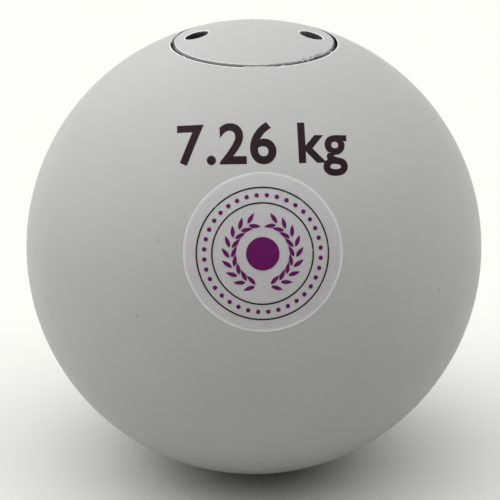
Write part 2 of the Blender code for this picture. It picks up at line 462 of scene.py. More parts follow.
def make_ball(finish):
    """The ball, with worn paint and a painted highlight at its mouth, painted shade in the gap there,
    and bare turned steel inside.
    """
    piece = grid_piece("ball_body", turned_points(*ball_grid()), finish)
    x, y, z = corner_array(piece.data).T
    radius, bearing = np.hypot(x, y), bearing_of(np.arctan2(y, x))
    bridge = paint_bridge(bearing)
    off = np.hypot(radius, z) < BALL_RADIUS - SKIN
    mask(piece, "machined", off & ((z < UNDERSIDE_Z) | (radius < HEAD_RADIUS - MM)))
    # A lighter line round the mouth's edge, worn paint with a painted highlight on it; the paint bridges
    # in the gap take the same lighter paint, a painted highlight
    edge = bell(radius - RIM_RADIUS, RIM_WEAR_AND_HIGHLIGHT_WIDTH) * (1 + 0.2 * ragged(bearing + np.pi, 11))
    mask(piece, "worn_and_highlit", np.maximum(edge, off * bridge) * (z > UNDERSIDE_Z))
    # Painted shade: the mouth's wall in the gap round the plug is dark, except where paint bridges it
    mask(piece, "grime_and_shade", off * (z > UNDERSIDE_Z) * (1 - bridge))
    return piece


def chip_zone(bearing):
    """1 at the front right, where the paint has flaked off the head's edge, and 0 elsewhere."""
    return np.exp(-(((np.degrees(bearing) - CHIPS_AT) / CHIPS_REACH) ** 6))


def chipped(bearing):
    """Depth of the chips in the head's edge, from 0 to 1: many at the front right, few elsewhere."""
    return (FEW_CHIPS + chip_zone(bearing)) * smooth_step(ragged(bearing + np.pi, 3, 60, 150) * 1.5)


def plug_grid():
    """Radius and height of the plug's grid. Its rows run from the dome's top outwards, round the
    head's edge, down to the neck, along the thread and in over the end face. The thread's rows get
    their radius last: the smaller of the helical wave and the cones at its two ends. A chip takes
    more off the radius than off the height."""
    thread, mouth = sizes("thread"), sizes("mouth")
    edge_r = HEAD_RADIUS - mouth.head_edge
    edge_z = math.sqrt((BALL_RADIUS - mouth.head_edge) ** 2 - edge_r**2)
    edge_angle = math.atan2(edge_z, edge_r)
    dome_end = BALL_RADIUS * math.cos(edge_angle)
    dome = np.linspace(0, dome_end - 0.4 * MM, DOME_ROWS)
    dome = np.append(dome, [dome_end - 0.22 * MM, dome_end - 0.1 * MM])
    crest = thread.diameter / 2
    end_r = crest - thread.lead_in - thread.pitch / 2
    head = [
        (HEAD_RADIUS, edge_z),
        (HEAD_RADIUS, UNDERSIDE_Z + mouth.head_foot),
        (HEAD_RADIUS - mouth.head_foot, UNDERSIDE_Z),
        (NECK_RADIUS, UNDERSIDE_Z),
        (NECK_RADIUS, SHOULDER_Z),
    ]
    section = np.concatenate([
        np.stack([dome, np.sqrt(BALL_RADIUS**2 - dome**2)], axis=1),
        bend((edge_r, edge_z), mouth.head_edge, edge_angle, 0, 8),
        polyline(head, (6, 1, 2, 4)),
        line((np.nan, SHOULDER_Z), (np.nan, PLUG_END_Z), 130),
        line((end_r, PLUG_END_Z), (0, PLUG_END_Z), 6),
        [(0, PLUG_END_Z)],
    ])
    around = column_angles(COLUMNS)[None]
    radius, height = spread(section, COLUMNS)
    threaded = np.isnan(section[:, 0])
    z = height[threaded]
    start = NECK_RADIUS + (SHOULDER_Z - z)
    end = end_r + (z - PLUG_END_Z)
    radius[threaded] = np.minimum(thread_radius(z, around, crest), np.minimum(start, end))
    lip = np.hypot(radius - edge_r, height - edge_z) < mouth.head_edge * 1.05
    lip &= (radius >= edge_r) & (height > edge_z)
    chip = mouth.chip * chipped(bearing_of(around)) * lip
    return radius - chip, height - 0.6 * chip


# The rounding at a spanner hole's floor, and how far the patch round the hole reaches past it
HOLE_CORNER = 0.3 * MM
HOLE_MARGIN = 1.35 * MM


def hole_grid(ring, side):
    """The patch round one spanner hole. Its rows run from a ring of the dome's own points in to the
    lip, over the lip's rounding, down the wall and in over the flat floor. Each column keeps its
    direction from the hole's axis."""
    mouth = sizes("mouth")
    axis = np.array([side * HOLE_X, 0.0])
    away = ring[:, :2] - axis
    reach = np.hypot(*away.T)[None]
    way = (away / reach.T)[None]
    bore = mouth.hole_diameter / 2

    def at(distance, height=None):
        plan = axis + way * (distance + 0 * reach)[..., None]
        if height is None:
            height = np.sqrt(BALL_RADIUS**2 - (plan**2).sum(-1))
        return np.concatenate([plan, (height + 0 * reach)[..., None]], axis=-1)

    share = (np.arange(8) / 8)[:, None]
    flat = at(reach + share * (bore + mouth.hole_lip - reach))
    flat[0] = ring
    lip_z = at(bore + mouth.hole_lip)[..., 2]
    wall_top = lip_z - mouth.hole_lip
    turn = np.linspace(0, math.pi / 2, 6)[:, None]
    lip = at(
        bore + mouth.hole_lip * (1 - np.sin(turn)),
        lip_z - mouth.hole_lip * (1 - np.cos(turn)),
    )
    down = (np.arange(1, 8) / 7)[:, None]
    wall = at(bore + 0 * down, wall_top + down * (HOLE_FLOOR_Z + HOLE_CORNER - wall_top))
    foot = at(
        bore - HOLE_CORNER * (1 - np.cos(turn[1:])),
        HOLE_FLOOR_Z + HOLE_CORNER * (1 - np.sin(turn[1:])),
    )
    inward = (1 - np.arange(1, 5) / 4)[:, None]
    floor = at((bore - HOLE_CORNER) * inward, HOLE_FLOOR_Z + 0 * inward)
    return np.concatenate([flat, lip, wall, foot, floor])


def make_plug(finish):
    """The closing plug. The dome's grid leaves a window round each spanner hole, and a patch with
    the hole fills it."""
    grid = turned_points(*plug_grid())
    index = np.arange(len(grid) * COLUMNS).reshape(len(grid), COLUMNS)
    quads = wrapped_quads(index)
    reach = sizes("mouth").hole_diameter / 2 + HOLE_MARGIN
    spacing = np.hypot(*grid[1, 0, :2])
    first, last = int((HOLE_X - reach) / spacing), int((HOLE_X + reach) / spacing)
    half = math.ceil(reach / HOLE_X / (2 * math.pi) * COLUMNS)
    keep = np.ones(quads.shape[:2], bool)
    points, faces = [grid.reshape(-1, 3)], []
    for side in (1, -1):
        middle = 0 if side > 0 else COLUMNS // 2
        window = np.arange(middle - half, middle + half + 1) % COLUMNS
        keep[first:last, window[:-1]] = False
        ring = np.concatenate([
            grid[last, window],
            grid[last - 1:first:-1, window[-1]],
            grid[first, window[::-1]],
            grid[first + 1:last, window[0]],
        ])[::-1]
        patch = hole_grid(ring, side)
        start = sum(len(part) for part in points)
        numbers = start + np.arange(patch.shape[0] * patch.shape[1]).reshape(patch.shape[:2])
        points.append(patch.reshape(-1, 3))
        faces.append(wrapped_quads(numbers).reshape(-1, 4))
    quads = np.concatenate([quads[keep], *faces])
    piece = mesh_piece("plug", np.concatenate(points), quads, finish)
    plug_wear_and_painted_light(piece)
    return piece


# How worn, grimy and patchy the plug's places are, and how strong their painted highlight and painted
# shade are, from 0 to 1
# The head's edge line: worn paint, brighter on its lit left and front side as a painted highlight
LIP_WEAR, LIT_LIP_HIGHLIGHT, CHIP_WEAR = 0.3, 0.9, 0.55
# Painted shade on the head's side in the gap: at the front, behind, and deeper down
FRONT_GAP_SHADE, BACK_GAP_SHADE, DEEP_GAP_SHADE = 0.5, 0.92, 0.78
# Painted shade inside the left and the right spanner hole, and the dirt in the flaked place
LEFT_HOLE_SHADE, RIGHT_HOLE_SHADE, FLAKE_GRIME = 0.93, 0.76, 0.25
FLAKE_PATCHES, HOLE_PATCHES, SIDE_PATCHES = 0.8, 0.45, 0.22
# The bearings between which the head's edge carries a brighter painted highlight on its lit side, and
# the widths of the ramps, and the bearing beyond which the painted shade in the gap is darker, all in
# degrees
LIP_HIGHLIGHT_BEARINGS = (-95, 22, 20, 20)
GAP_SHADE_FROM = 72
# Half the widths of the lighter lines on the holes' rims and on the head's edge, worn paint with a
# painted highlight, and how far the first lie outside the holes
HOLE_LINE, EDGE_LINE, HOLE_LINE_OUT = 0.20 * MM, 0.13 * MM, 0.16 * MM
# Depths below the dome, in mm: where a hole's paint ends, where chips and flakes lie, and where streaks
# end and the patches in the gap's deep painted shade start
HOLE_PAINT_ENDS = 0.15
CHIP_DEPTHS = (0.02, 0.4)
FLAKE_DEPTHS = (0.04, 0.5)
STREAKS_END = 1.6
DEEP_STARTS = 0.8


def plug_wear_and_painted_light(piece):
    """Marks the plug's bare steel, its worn edges with a painted highlight on their lit side, its grime,
    the painted shade in the gap and the spanner holes, and its patchy places, which the finish reads.
    The depth is the distance below the dome, in mm."""
    bore, head_edge = sizes("mouth").hole_diameter / 2, sizes("mouth").head_edge
    x, y, z = corner_array(piece.data).T
    radius, bearing = np.hypot(x, y), bearing_of(np.arctan2(y, x))
    from_hole = np.hypot(np.abs(x) - HOLE_X, y)
    depth = (np.sqrt(BALL_RADIUS**2 - np.minimum(radius, BALL_RADIUS) ** 2) - z) / MM
    in_hole = (from_hole < bore + SKIN) & (z > HOLE_FLOOR_Z - SKIN)
    lip_radius = (HEAD_RADIUS - head_edge) * BALL_RADIUS / (BALL_RADIUS - head_edge)
    on_side = (radius > lip_radius) & (z > UNDERSIDE_Z)
    mask(piece, "machined", (z < UNDERSIDE_Z + 0.1 * MM) | (in_hole & (depth > HOLE_PAINT_ENDS)))

    # Lighter lines round the holes' rims and along the head's edge, worn paint with a painted highlight
    # that is stronger on the lit side, and bare chips at the front right
    rim = bell(from_hole - bore - HOLE_LINE_OUT, HOLE_LINE) * (depth < 0.4)
    lip = bell(radius - lip_radius, EDGE_LINE) * (depth < 0.1)
    lip *= LIP_WEAR + (LIT_LIP_HIGHLIGHT - LIP_WEAR) * stretch(bearing, *LIP_HIGHLIGHT_BEARINGS)
    chips = CHIP_WEAR * chip_zone(bearing) * between(depth, *CHIP_DEPTHS) * (from_hole > 2 * bore)
    mask(piece, "worn_and_highlit", np.maximum.reduce([rim, lip, chips]))

    # Painted shade on the head's side in the gap: lighter at the front, darker behind and deeper down,
    # and thinner where paint streaks run down it
    behind = smooth_step((np.abs(np.degrees(bearing)) - GAP_SHADE_FROM) / 10)
    shade = FRONT_GAP_SHADE + (BACK_GAP_SHADE - FRONT_GAP_SHADE) * behind
    side = shade * smooth_step(depth / 0.05) + (DEEP_GAP_SHADE - shade) * smooth_step(depth / 0.5 - 0.2)
    streak = paint_bridge(bearing) * (np.abs(bearing) > 1) * smooth_step(STREAKS_END - depth)
    side *= on_side * (1 - 0.8 * streak)
    flakes = chip_zone(bearing) * between(depth, *FLAKE_DEPTHS)
    # Painted shade fills the spanner holes, darker in the left one
    hole_shade = in_hole * np.where(x < 0, LEFT_HOLE_SHADE, RIGHT_HOLE_SHADE) * smooth_step(depth / 0.25 - 0.1)
    mask(piece, "grime_and_shade", np.maximum.reduce([hole_shade, side, FLAKE_GRIME * flakes]))
    deep = on_side & (depth > DEEP_STARTS)
    patchy = [FLAKE_PATCHES * flakes, HOLE_PATCHES * in_hole, SIDE_PATCHES * deep]
    mask(piece, "patchy", np.maximum.reduce(patchy))


def make_seal(finish):
    """The rubber ring: a circle carried round the axis, with the mould's parting line as a low ridge
    on its outermost and innermost points."""
    columns, rows = 192, 32
    ridge = 0.04 * MM
    turn = -2 * np.pi * np.arange(rows)[:, None] / rows
    out = CORD_RADIUS - ridge + ridge * np.cos(turn) ** 40
    radius = SEAL_HIGH.x - CORD_RADIUS + out * np.cos(turn)
    height = SEAL_LOW.z + CORD_RADIUS + (CORD_RADIUS - 0.001 * MM) * np.sin(turn)
    section = np.concatenate([radius, height], axis=1)
    return grid_piece("seal", turned_points(*spread(section, columns)), finish, closed=True)


# Filling

# Columns of the filling's grids, the length of its dents, and the rings on the lead's top
FILL_COLUMNS = 128
DENT_LENGTH = 7 * MM
CAST_RINGS = 6


def unevenness(points, lump, seed):
    """A gentle seeded unevenness, mostly from 0 to 1: plane waves of this length in metres, which
    run in all directions."""
    waves = 16
    draw = np.random.default_rng(seed)
    ways = draw.normal(size=(3, waves))
    ways *= 2 * np.pi / lump / np.linalg.norm(ways, axis=0)
    wave = np.sin(points @ ways + draw.uniform(0, 2 * np.pi, waves)).sum(-1) / math.sqrt(waves)
    return np.clip(0.5 + 0.3 * wave, 0, 1)


def filling_piece(name, section, finish, dents, seed):
    """A turned piece whose skin is sunk along its own normal, as deep as the dents go, by the
    unevenness. Its section runs from the axis at the top, down the outside, to the axis below."""
    slope = np.gradient(section, axis=0)
    slope /= np.hypot(*slope.T)[:, None]
    radius, height = spread(section, FILL_COLUMNS)
    sunk = dents * unevenness(turned_points(radius, height), DENT_LENGTH, seed)
    radius = radius + sunk * slope[:, 1:]
    radius[[0, -1]] = 0
    return grid_piece(name, turned_points(radius, height - sunk * slope[:, :1]), finish)


def rounded_side(high, low, edge):
    """The outside of a disc's section, from its top face's rim to its bottom face's."""
    radius = high.x
    return np.concatenate([
        bend((radius - edge, high.z - edge), edge, math.pi / 2, 0, 6),
        line((radius, high.z - edge), (radius, low.z + edge), 8),
        bend((radius - edge, low.z + edge), edge, 0, -math.pi / 2, 6),
    ])


def make_disc(name, node, finish, dents, seed):
    """A disc of the filling, with rounded edges and uneven faces."""
    low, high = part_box(node)
    edge = sizes("filling").edge
    section = np.concatenate([
        line((0, high.z), (high.x - edge, high.z), 24),
        rounded_side(high, low, edge),
        line((high.x - edge, low.z), (0, low.z), 24),
        [(0, low.z)],
    ])
    return filling_piece(name, section, finish, dents, seed)


def make_lead_core(finish):
    """The cast lead. Its top sinks by the square of the radius, with rings where it set, and its
    lower end fills the drill's cone."""
    filling = sizes("filling")
    low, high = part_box("lead_core")
    edge, radius = filling.edge, high.x
    reach = np.linspace(0, 1, 48, endpoint=False)
    sink = (1 - reach**2) * (filling.dish - filling.ripple * np.cos(2 * np.pi * reach * CAST_RINGS))
    foot = low.z + radius * POINT_SLOPE
    section = np.concatenate([
        np.stack([reach * (radius - edge), high.z - sink], axis=1),
        bend((radius - edge, high.z - edge), edge, math.pi / 2, 0, 6),
        polyline([(radius, high.z - edge), (radius, foot), (0, low.z)], (40, 16)),
        [(0, low.z)],
    ])
    return filling_piece("lead_slug", section, finish, filling.dents, 23)


# Label and prints

def direction(elevation, bearing):
    """The unit vector at an elevation above the equator and a bearing from -Y towards +X."""
    level = math.cos(elevation)
    return level * math.sin(bearing), -level * math.cos(bearing), math.sin(elevation)


def place_on_ball(right, up, height, elevation, bearing):
    """Lays a flat drawing on the ball: each point is carried along a great circle from the
    drawing's middle, as far as it lies from it, and then lifted by its height."""
    normal = np.array(direction(elevation, bearing))
    rightward = np.array([math.cos(bearing), math.sin(bearing), 0.0])
    upward = np.cross(normal, rightward)
    distance = np.hypot(right, up)
    turn = distance / BALL_RADIUS
    share = np.where(distance > 0, np.sin(turn) / np.maximum(distance, 1e-12), 0.0)
    way = (right * share)[..., None] * rightward + (up * share)[..., None] * upward
    return (np.cos(turn)[..., None] * normal + way) * (BALL_RADIUS + height)[..., None]


def print_solid(name, plan, quads, low, high, place, finish):
    """A thin solid over a flat drawing, laid on the ball: the drawing's faces at two heights, and a
    wall along each edge that only one face has."""
    flat = np.concatenate([plan, np.zeros((len(plan), 1))], axis=1)
    flat, whole, slim = merged(flat, quads)
    faces = np.concatenate([whole, slim[:, [0, 1, 2, 2]]])
    edges = np.stack([faces, np.roll(faces, -1, axis=1)], axis=-1).reshape(-1, 2)
    edges = edges[edges[:, 0] != edges[:, 1]]
    count = len(flat)
    _, where, times = np.unique(
        np.sort(edges, axis=1) @ [count, 1], return_inverse=True, return_counts=True
    )
    rim = edges[times[where] == 1]
    walls = np.stack([rim[:, 1], rim[:, 0], rim[:, 0] + count, rim[:, 1] + count], axis=1)
    faces = np.concatenate([faces, faces[:, ::-1] + count, walls])
    right, up = np.concatenate([flat, flat])[:, :2].T
    points = place_on_ball(right, up, np.repeat([high, low], count), *place)
    return mesh_piece(name, points, faces, finish)


def joined_drawing(parts):
    """One flat drawing from several grids of points (rows, columns, 2), whose columns don't close."""
    quads, start = [], 0
    for part in parts:
        rows, columns = part.shape[:2]
        quads.append(open_quads(start + np.arange(rows * columns).reshape(rows, columns)).reshape(-1, 4))
        start += rows * columns
    return np.concatenate([part.reshape(-1, 2) for part in parts]), np.concatenate(quads)


def ring_drawing(radius, width, columns):
    """A flat ring: rows across its width, columns round it."""
    around = np.linspace(0, 2 * np.pi, columns + 1)
    across = radius + width * np.linspace(-0.5, 0.5, 3)[:, None]
    return np.stack([across * np.cos(around), across * np.sin(around)], axis=-1)


def disc_drawing(centre, radius, rows, columns):
    """A flat disc: rows from its middle out, columns round it."""
    around = np.linspace(0, 2 * np.pi, columns + 1)
    out = radius * np.linspace(0, 1, rows + 1)[:, None]
    return np.array(centre) + np.stack([out * np.cos(around), out * np.sin(around)], axis=-1)


def leaf_drawing(foot, way, reach, width):
    """A pointed leaf: the middle rib runs straight from its foot, and the half width is the sine of
    the way along it, fuller near the foot. Rows run across it, from left to right."""
    along = np.linspace(0, 1, 15)[None]
    across = np.linspace(1, -1, 5)[:, None]
    half = width / 2 * np.sin(np.pi * along**0.8)
    rib = np.array([math.cos(way), math.sin(way)])
    left = np.array([-math.sin(way), math.cos(way)])
    return np.array(foot) + (along * reach)[..., None] * rib + (across * half)[..., None] * left


CREASES = (
    # distance from the label's middle, direction, length and width, in mm and degrees
    (11.3, 1.5, 2.6, 0.16),
    (16.8, 5.5, 2.8, 0.18),
    (16.0, 52.0, 1.6, 0.15),
    (10.7, 48.0, 1.8, 0.16),
    (17.8, 182.0, 2.6, 0.20),
    (16.2, 135.5, 1.4, 0.18),
    (17.9, 232.0, 2.4, 0.18),
    (18.2, 285.0, 1.2, 0.15),
    (18.0, 96.0, 1.2, 0.14),
)


def crease_height(distance, around):
    """Height of the film's creases, from 0 to 1: each is a short radial ridge, a bell along and
    across its line."""
    total = np.zeros(np.broadcast(distance, around).shape)
    for reach, way, long, wide in CREASES:
        along = (distance - reach * MM) / (long * MM / 2)
        swing = (around - math.radians(way) + np.pi) % (2 * np.pi) - np.pi
        across = distance * swing / (wide * MM)
        total += np.exp(-(along**4) - across**2)
    return np.clip(total, 0, 1)


# The film's bright cut edge, whiter film with a painted highlight on it, starts and reaches its full
# strength this far inside its outline, and creases take this much painted highlight
EDGE_STARTS = 0.09 * MM
EDGE_FULL = 0.06 * MM
CREASE_HIGHLIGHT = 0.45


def make_film(finish):
    """The round film, a closed thin cap on the ball. Its top rises at the creases, its outer edge is
    half round, and its underside follows the paint."""
    label = sizes("label")
    around = column_angles(480)[None]
    top = np.linspace(0, label.radius - 0.5 * MM, 47)
    top = np.append(top, label.radius - np.array([0.25 * MM, EDGE_STARTS, EDGE_FULL]))[:, None]
    turn = np.linspace(math.pi / 2, -math.pi / 2, 7)[:, None]
    middle = label.lift + label.thickness / 2
    rim = label.radius - label.thickness / 2 * (1 - np.cos(turn))
    under = np.linspace(label.radius - label.thickness / 2, 0, 20)[1:, None]
    distance = np.concatenate([top, rim, under]) + 0 * around
    height = np.concatenate([
        label.lift + label.thickness + crease_height(top, around) * label.crease,
        middle + label.thickness / 2 * np.sin(turn) + 0 * around,
        label.lift + 0 * under + 0 * around,
    ])
    place = (label.elevation, label.bearing)
    grid = place_on_ball(distance * np.cos(around), distance * np.sin(around), height, *place)
    piece = grid_piece("film_label", grid, finish)
    corners = corner_array(piece.data)
    out = np.linalg.norm(corners, axis=1)
    reach = BALL_RADIUS * np.arccos(np.clip(corners @ direction(*place) / out, -1, 1))
    # Whiter film at the cut edge, partly a painted highlight, and a painted highlight on the creases by
    # their height
    edge = smooth_step((reach - label.radius + EDGE_STARTS) / (EDGE_STARTS - EDGE_FULL))
    lift = out - BALL_RADIUS - label.lift - label.thickness
    mask(piece, "edge", np.maximum(edge, CREASE_HIGHLIGHT * lift / label.crease))
    return piece


# How far the prints lie off the film's middle and over its face
PRINT_SHIFT = np.array([-0.16, -0.36]) * MM
PRINT_GAP = 0.002 * MM
# The wreath: the angle from straight down to its first leaves, the angle from there to its last,
# how far its leaves turn out, how far their feet lie off its stem, and their width as a share of
# their length
WREATH_OPENING = 14
WREATH_SPAN = 140
LEAF_TURN = 32
LEAF_FOOT = 0.25 * MM
LEAF_WIDTH = 0.34


def make_label_prints(purple, dark):
    """What is printed on the film: two thin rings, dots between them, and a wreath round a disc.
    All of it lies a little off the film's middle."""
    label = sizes("label")
    place = (label.elevation, label.bearing)
    low = label.lift + label.thickness + PRINT_GAP

    def printed(name, drawings, ink):
        plan, quads = joined_drawing(drawings)
        return print_solid(name, plan + PRINT_SHIFT, quads, low, low + label.ink, place, ink)

    band = (label.ring_outer + label.ring_inner) / 2
    turns = 2 * np.pi * (np.arange(label.dots) + 0.5) / label.dots
    dots = [
        disc_drawing((band * math.cos(t), band * math.sin(t)), label.dot_radius, 1, 14) for t in turns
    ]
    wreath = [disc_drawing((0, 0), label.disc_radius, 8, 64)]
    for side in (-1, 1):
        for step in range(label.leaves):
            share = step / (label.leaves - 1)
            turn = -math.pi / 2 + side * math.radians(WREATH_OPENING + WREATH_SPAN * share)
            for out in (-1, 1):
                radius = label.wreath_radius + out * LEAF_FOOT
                foot = (radius * math.cos(turn), radius * math.sin(turn))
                way = turn + side * math.radians(90 - out * LEAF_TURN)
                wreath.append(leaf_drawing(foot, way, label.leaf, label.leaf * LEAF_WIDTH))
    return [
        printed("ring_outer", [ring_drawing(label.ring_outer, label.ring_width, 256)], dark),
        printed("ring_inner", [ring_drawing(label.ring_inner, label.ring_width, 256)], dark),
        printed("label_dots", dots, purple),
        printed("wreath", wreath, purple),
    ]


# The printed mass: how much its strokes are thickened and its letters spaced, in Blender's own
# units, the grid that cuts it, how near points are one and a cut takes an old point, and the
# heights of the ink's two faces over the paint
STROKE_OFFSET = 0.022
LETTER_SPACE = 1.06
MARK_GRID = MM
MARK_WELD = 0.001 * MM
CUT_REACH = 0.01 * MM
INK_FOOT = 0.004 * MM
INK_TOP = 0.020 * MM


def make_mass_mark(finish):
    """The printed mass. The text's flat faces are cut by a grid, so that they can follow the ball,
    and its ends are raised by the square of their distance from the middle."""
    mark = sizes("mark")
    curve = bpy.data.curves.new("mass_text", "FONT")
    curve.body = mark.text
    curve.offset = STROKE_OFFSET
    curve.space_character = LETTER_SPACE
    text = bpy.data.objects.new("mass_text", curve)
    bpy.context.scene.collection.objects.link(text)
    flat = bpy.data.meshes.new_from_object(text)
    bpy.data.objects.remove(text)
    bpy.data.curves.remove(curve)

    corners = corner_array(flat)
    low, high = corners.min(0), corners.max(0)
    scale = mark.width / (high[0] - low[0])
    corners[:, 0] = (corners[:, 0] - (low[0] + high[0]) / 2) * scale
    figure_top = high[1]
    corners[:, 1] = (corners[:, 1] - figure_top / 2) * mark.height / figure_top
    flat.vertices.foreach_set("co", corners.ravel())

    work = bmesh.new()
    work.from_mesh(flat)
    bmesh.ops.remove_doubles(work, verts=work.verts, dist=MARK_WELD)
    for axis, reach in ((0, mark.width / 2), (1, mark.height)):
        normal = [float(axis == 0), float(axis == 1), 0.0]
        for cut in np.arange(-reach, reach, MARK_GRID):
            geometry = work.verts[:] + work.edges[:] + work.faces[:]
            point = [cut * normal[0], cut * normal[1], 0.0]
            bmesh.ops.bisect_plane(work, geom=geometry, plane_co=point, plane_no=normal, dist=CUT_REACH)
    bmesh.ops.triangulate(work, faces=work.faces[:])
    plan = np.array([vertex.co[:2] for vertex in work.verts])
    triangles = np.array([[vertex.index for vertex in face.verts] for face in work.faces])
    work.free()
    bpy.data.meshes.remove(flat)
    plan[:, 1] += mark.bow * (plan[:, 0] / (mark.width / 2)) ** 2
    quads = np.concatenate([triangles, triangles[:, 2:]], axis=1)
    place = (mark.elevation, mark.bearing)
    return print_solid("mass_mark", plan, quads, INK_FOOT, INK_TOP, place, finish)


# Materials

class Nodes:
    """The nodes of a material or of the sky. Numbers and colours go straight into a node's sockets,
    and node outputs are linked to them."""

    def __init__(self, owner, shader, coordinates):
        owner.use_nodes = True
        self.tree = owner.node_tree
        self.shader = self.tree.nodes[shader]
        self.place = self.node("ShaderNodeTexCoord").outputs[coordinates]

    def node(self, kind, sockets=None, **settings):
        """A node with its settings, and a value or a link for each named or numbered socket."""
        made = self.tree.nodes.new(kind)
        for name, value in settings.items():
            setattr(made, name, value)
        for name, value in (sockets or {}).items():
            self.feed(made.inputs[name], value)
        return made

    def feed(self, socket, value):
        """Links an output to a socket, or sets the socket to a constant."""
        if isinstance(value, bpy.types.NodeSocket):
            self.tree.links.new(value, socket)
        else:
            socket.default_value = value

    def set(self, **values):
        """Sets or links the shader's own sockets."""
        for name, value in values.items():
            self.feed(self.shader.inputs[name.replace("_", " ")], value)

    def math(self, operation, first, second):
        """A sum, product or the like of two values."""
        return self.node("ShaderNodeMath", {0: first, 1: second}, operation=operation).outputs[0]

    def ramp(self, value, low, high, start=0.0, end=1.0, smooth=False):
        """Carries low..high to start..end, and stays there outside."""
        sockets = {"Value": value, "From Min": low, "From Max": high, "To Min": start, "To Max": end}
        kind = "SMOOTHSTEP" if smooth else "LINEAR"
        return self.node("ShaderNodeMapRange", sockets, interpolation_type=kind).outputs["Result"]


class Finish(Nodes):
    """One material and its nodes."""

    def __init__(self, name):
        self.material = bpy.data.materials.new(name)
        super().__init__(self.material, "Principled BSDF", "Object")

    def noise(self, size, detail=2.0, where=None):
        """Noise from 0 to 1, with lumps of about this size in metres."""
        sockets = {"Vector": where or self.place, "Scale": 1 / size, "Detail": detail}
        return self.node("ShaderNodeTexNoise", sockets).outputs["Fac"]

    def attribute(self, name):
        """The piece's own number per vertex, by its name."""
        return self.node("ShaderNodeAttribute", attribute_name=name).outputs["Fac"]

    def mix(self, share, first, second):
        """A colour between two, by a share from 0 to 1."""
        sockets = {0: share, 6: self.opaque(first), 7: self.opaque(second)}
        return self.node("ShaderNodeMix", sockets, data_type="RGBA").outputs[2]

    @staticmethod
    def opaque(value):
        """A colour with its alpha, or the output that gives it."""
        return value if isinstance(value, bpy.types.NodeSocket) else (*value, 1.0)

    def blend(self, share, first, second):
        """A number between two, by a share from 0 to 1."""
        return self.node("ShaderNodeMix", {0: share, 2: first, 3: second}, data_type="FLOAT").outputs[0]

    def bump(self, height, distance, under=None):
        """Relief from a height from 0 to 1, this deep in metres, on top of another relief."""
        sockets = {"Height": height, "Distance": distance}
        if under is not None:
            sockets["Normal"] = under
        return self.node("ShaderNodeBump", sockets).outputs["Normal"]


def shaded(tone, factor):
    """A colour made darker or lighter."""
    return tuple(min(1.0, channel * factor) for channel in tone)


SCRATCH_STRETCH = 3.5
SCRATCH_DARKNESS = 0.6
SPECK_TONE = (0.09, 0.085, 0.08)
# The near-black of grime and of the painted shade in the gap and the spanner holes
GRIME_AND_SHADE_TONE = (0.010, 0.010, 0.009)
SCRATCHES = (
    # direction of each dark scratch as elevation and bearing in degrees, and half its width in mm
    (21.1, -24.3, 0.22),
    (2.6, -28.2, 0.22),
    (3.4, 50.3, 0.18),
    (58.8, 93.4, 0.22),
)


def scratches(finish):
    """How dark the short upright scratches at known places are, and 0 elsewhere: the distance from
    each place, counted less along the axis and warped by fine noise, against its half width."""
    total = 0.0
    flatter = (1.0, 1.0, 1 / SCRATCH_STRETCH)
    place = finish.node("ShaderNodeVectorMath", {0: finish.place, 1: flatter}, operation="MULTIPLY")
    warp = finish.ramp(finish.noise(0.4 * MM), 0, 1, -0.08 * MM, 0.08 * MM)
    for elevation, bearing, width in SCRATCHES:
        way = direction(math.radians(elevation), math.radians(bearing))
        point = [BALL_RADIUS * part * scale for part, scale in zip(way, flatter)]
        sockets = {0: place.outputs["Vector"], 1: point}
        gap = finish.node("ShaderNodeVectorMath", sockets, operation="DISTANCE")
        off = finish.math("ADD", gap.outputs["Value"], warp)
        spot = finish.ramp(off, width * MM * 0.4, width * MM, SCRATCH_DARKNESS, 0.0)
        total = finish.math("MAXIMUM", spot, total)
    return total


def broken_grime_and_shade(finish):
    """The mask of grime and painted shade, whose half dark places are broken up into patches as far as
    the mask of patchy places says."""
    soil_and_shade = finish.attribute("grime_and_shade")
    partly = finish.math("MULTIPLY", soil_and_shade, finish.math("SUBTRACT", 1.0, soil_and_shade))
    patches = finish.ramp(finish.noise(0.5 * MM, 4.0), 0.3, 0.7, -2.4, 2.4)
    patches = finish.math("MULTIPLY", patches, finish.attribute("patchy"))
    return finish.ramp(finish.math("ADD", soil_and_shade, finish.math("MULTIPLY", partly, patches)), 0, 1)


def sprayed_paint(finish, tone, fine):
    """The paint's colour: broad and fine unevenness, a few dark specks, and the scratches."""
    broad = finish.ramp(finish.noise(35 * MM, 3.0), 0.3, 0.7)
    paint = finish.mix(broad, shaded(tone, 0.97), shaded(tone, 1.03))
    paint = finish.mix(finish.ramp(fine, 0.35, 0.75, 0.0, 0.12), paint, shaded(tone, 0.85))
    cells = finish.node("ShaderNodeTexVoronoi", {"Vector": finish.place, "Scale": 1 / (5 * MM)})
    chosen = finish.node("ShaderNodeSeparateColor", {0: cells.outputs["Color"]}).outputs[0]
    dots = finish.ramp(cells.outputs["Distance"], 0.02, 0.05, 1.0, 0.0)
    dots = finish.math("MULTIPLY", dots, finish.ramp(chosen, 0.86, 0.90, 0.0, 0.35))
    return finish.mix(finish.math("MAXIMUM", dots, scratches(finish)), paint, SPECK_TONE)


def lathe_rings(finish):
    """Noise of the radius and the height alone: fine rings, as a lathe's tool leaves."""
    split = finish.node("ShaderNodeSeparateXYZ", {0: finish.place})
    flat = finish.node("ShaderNodeCombineXYZ", {0: split.outputs[0], 1: split.outputs[1]})
    radius = finish.node("ShaderNodeVectorMath", {0: flat.outputs[0]}, operation="LENGTH")
    rings = finish.node("ShaderNodeCombineXYZ", {0: radius.outputs["Value"], 2: split.outputs[2]})
    return finish.noise(0.25 * MM, 2.0, rings.outputs[0])


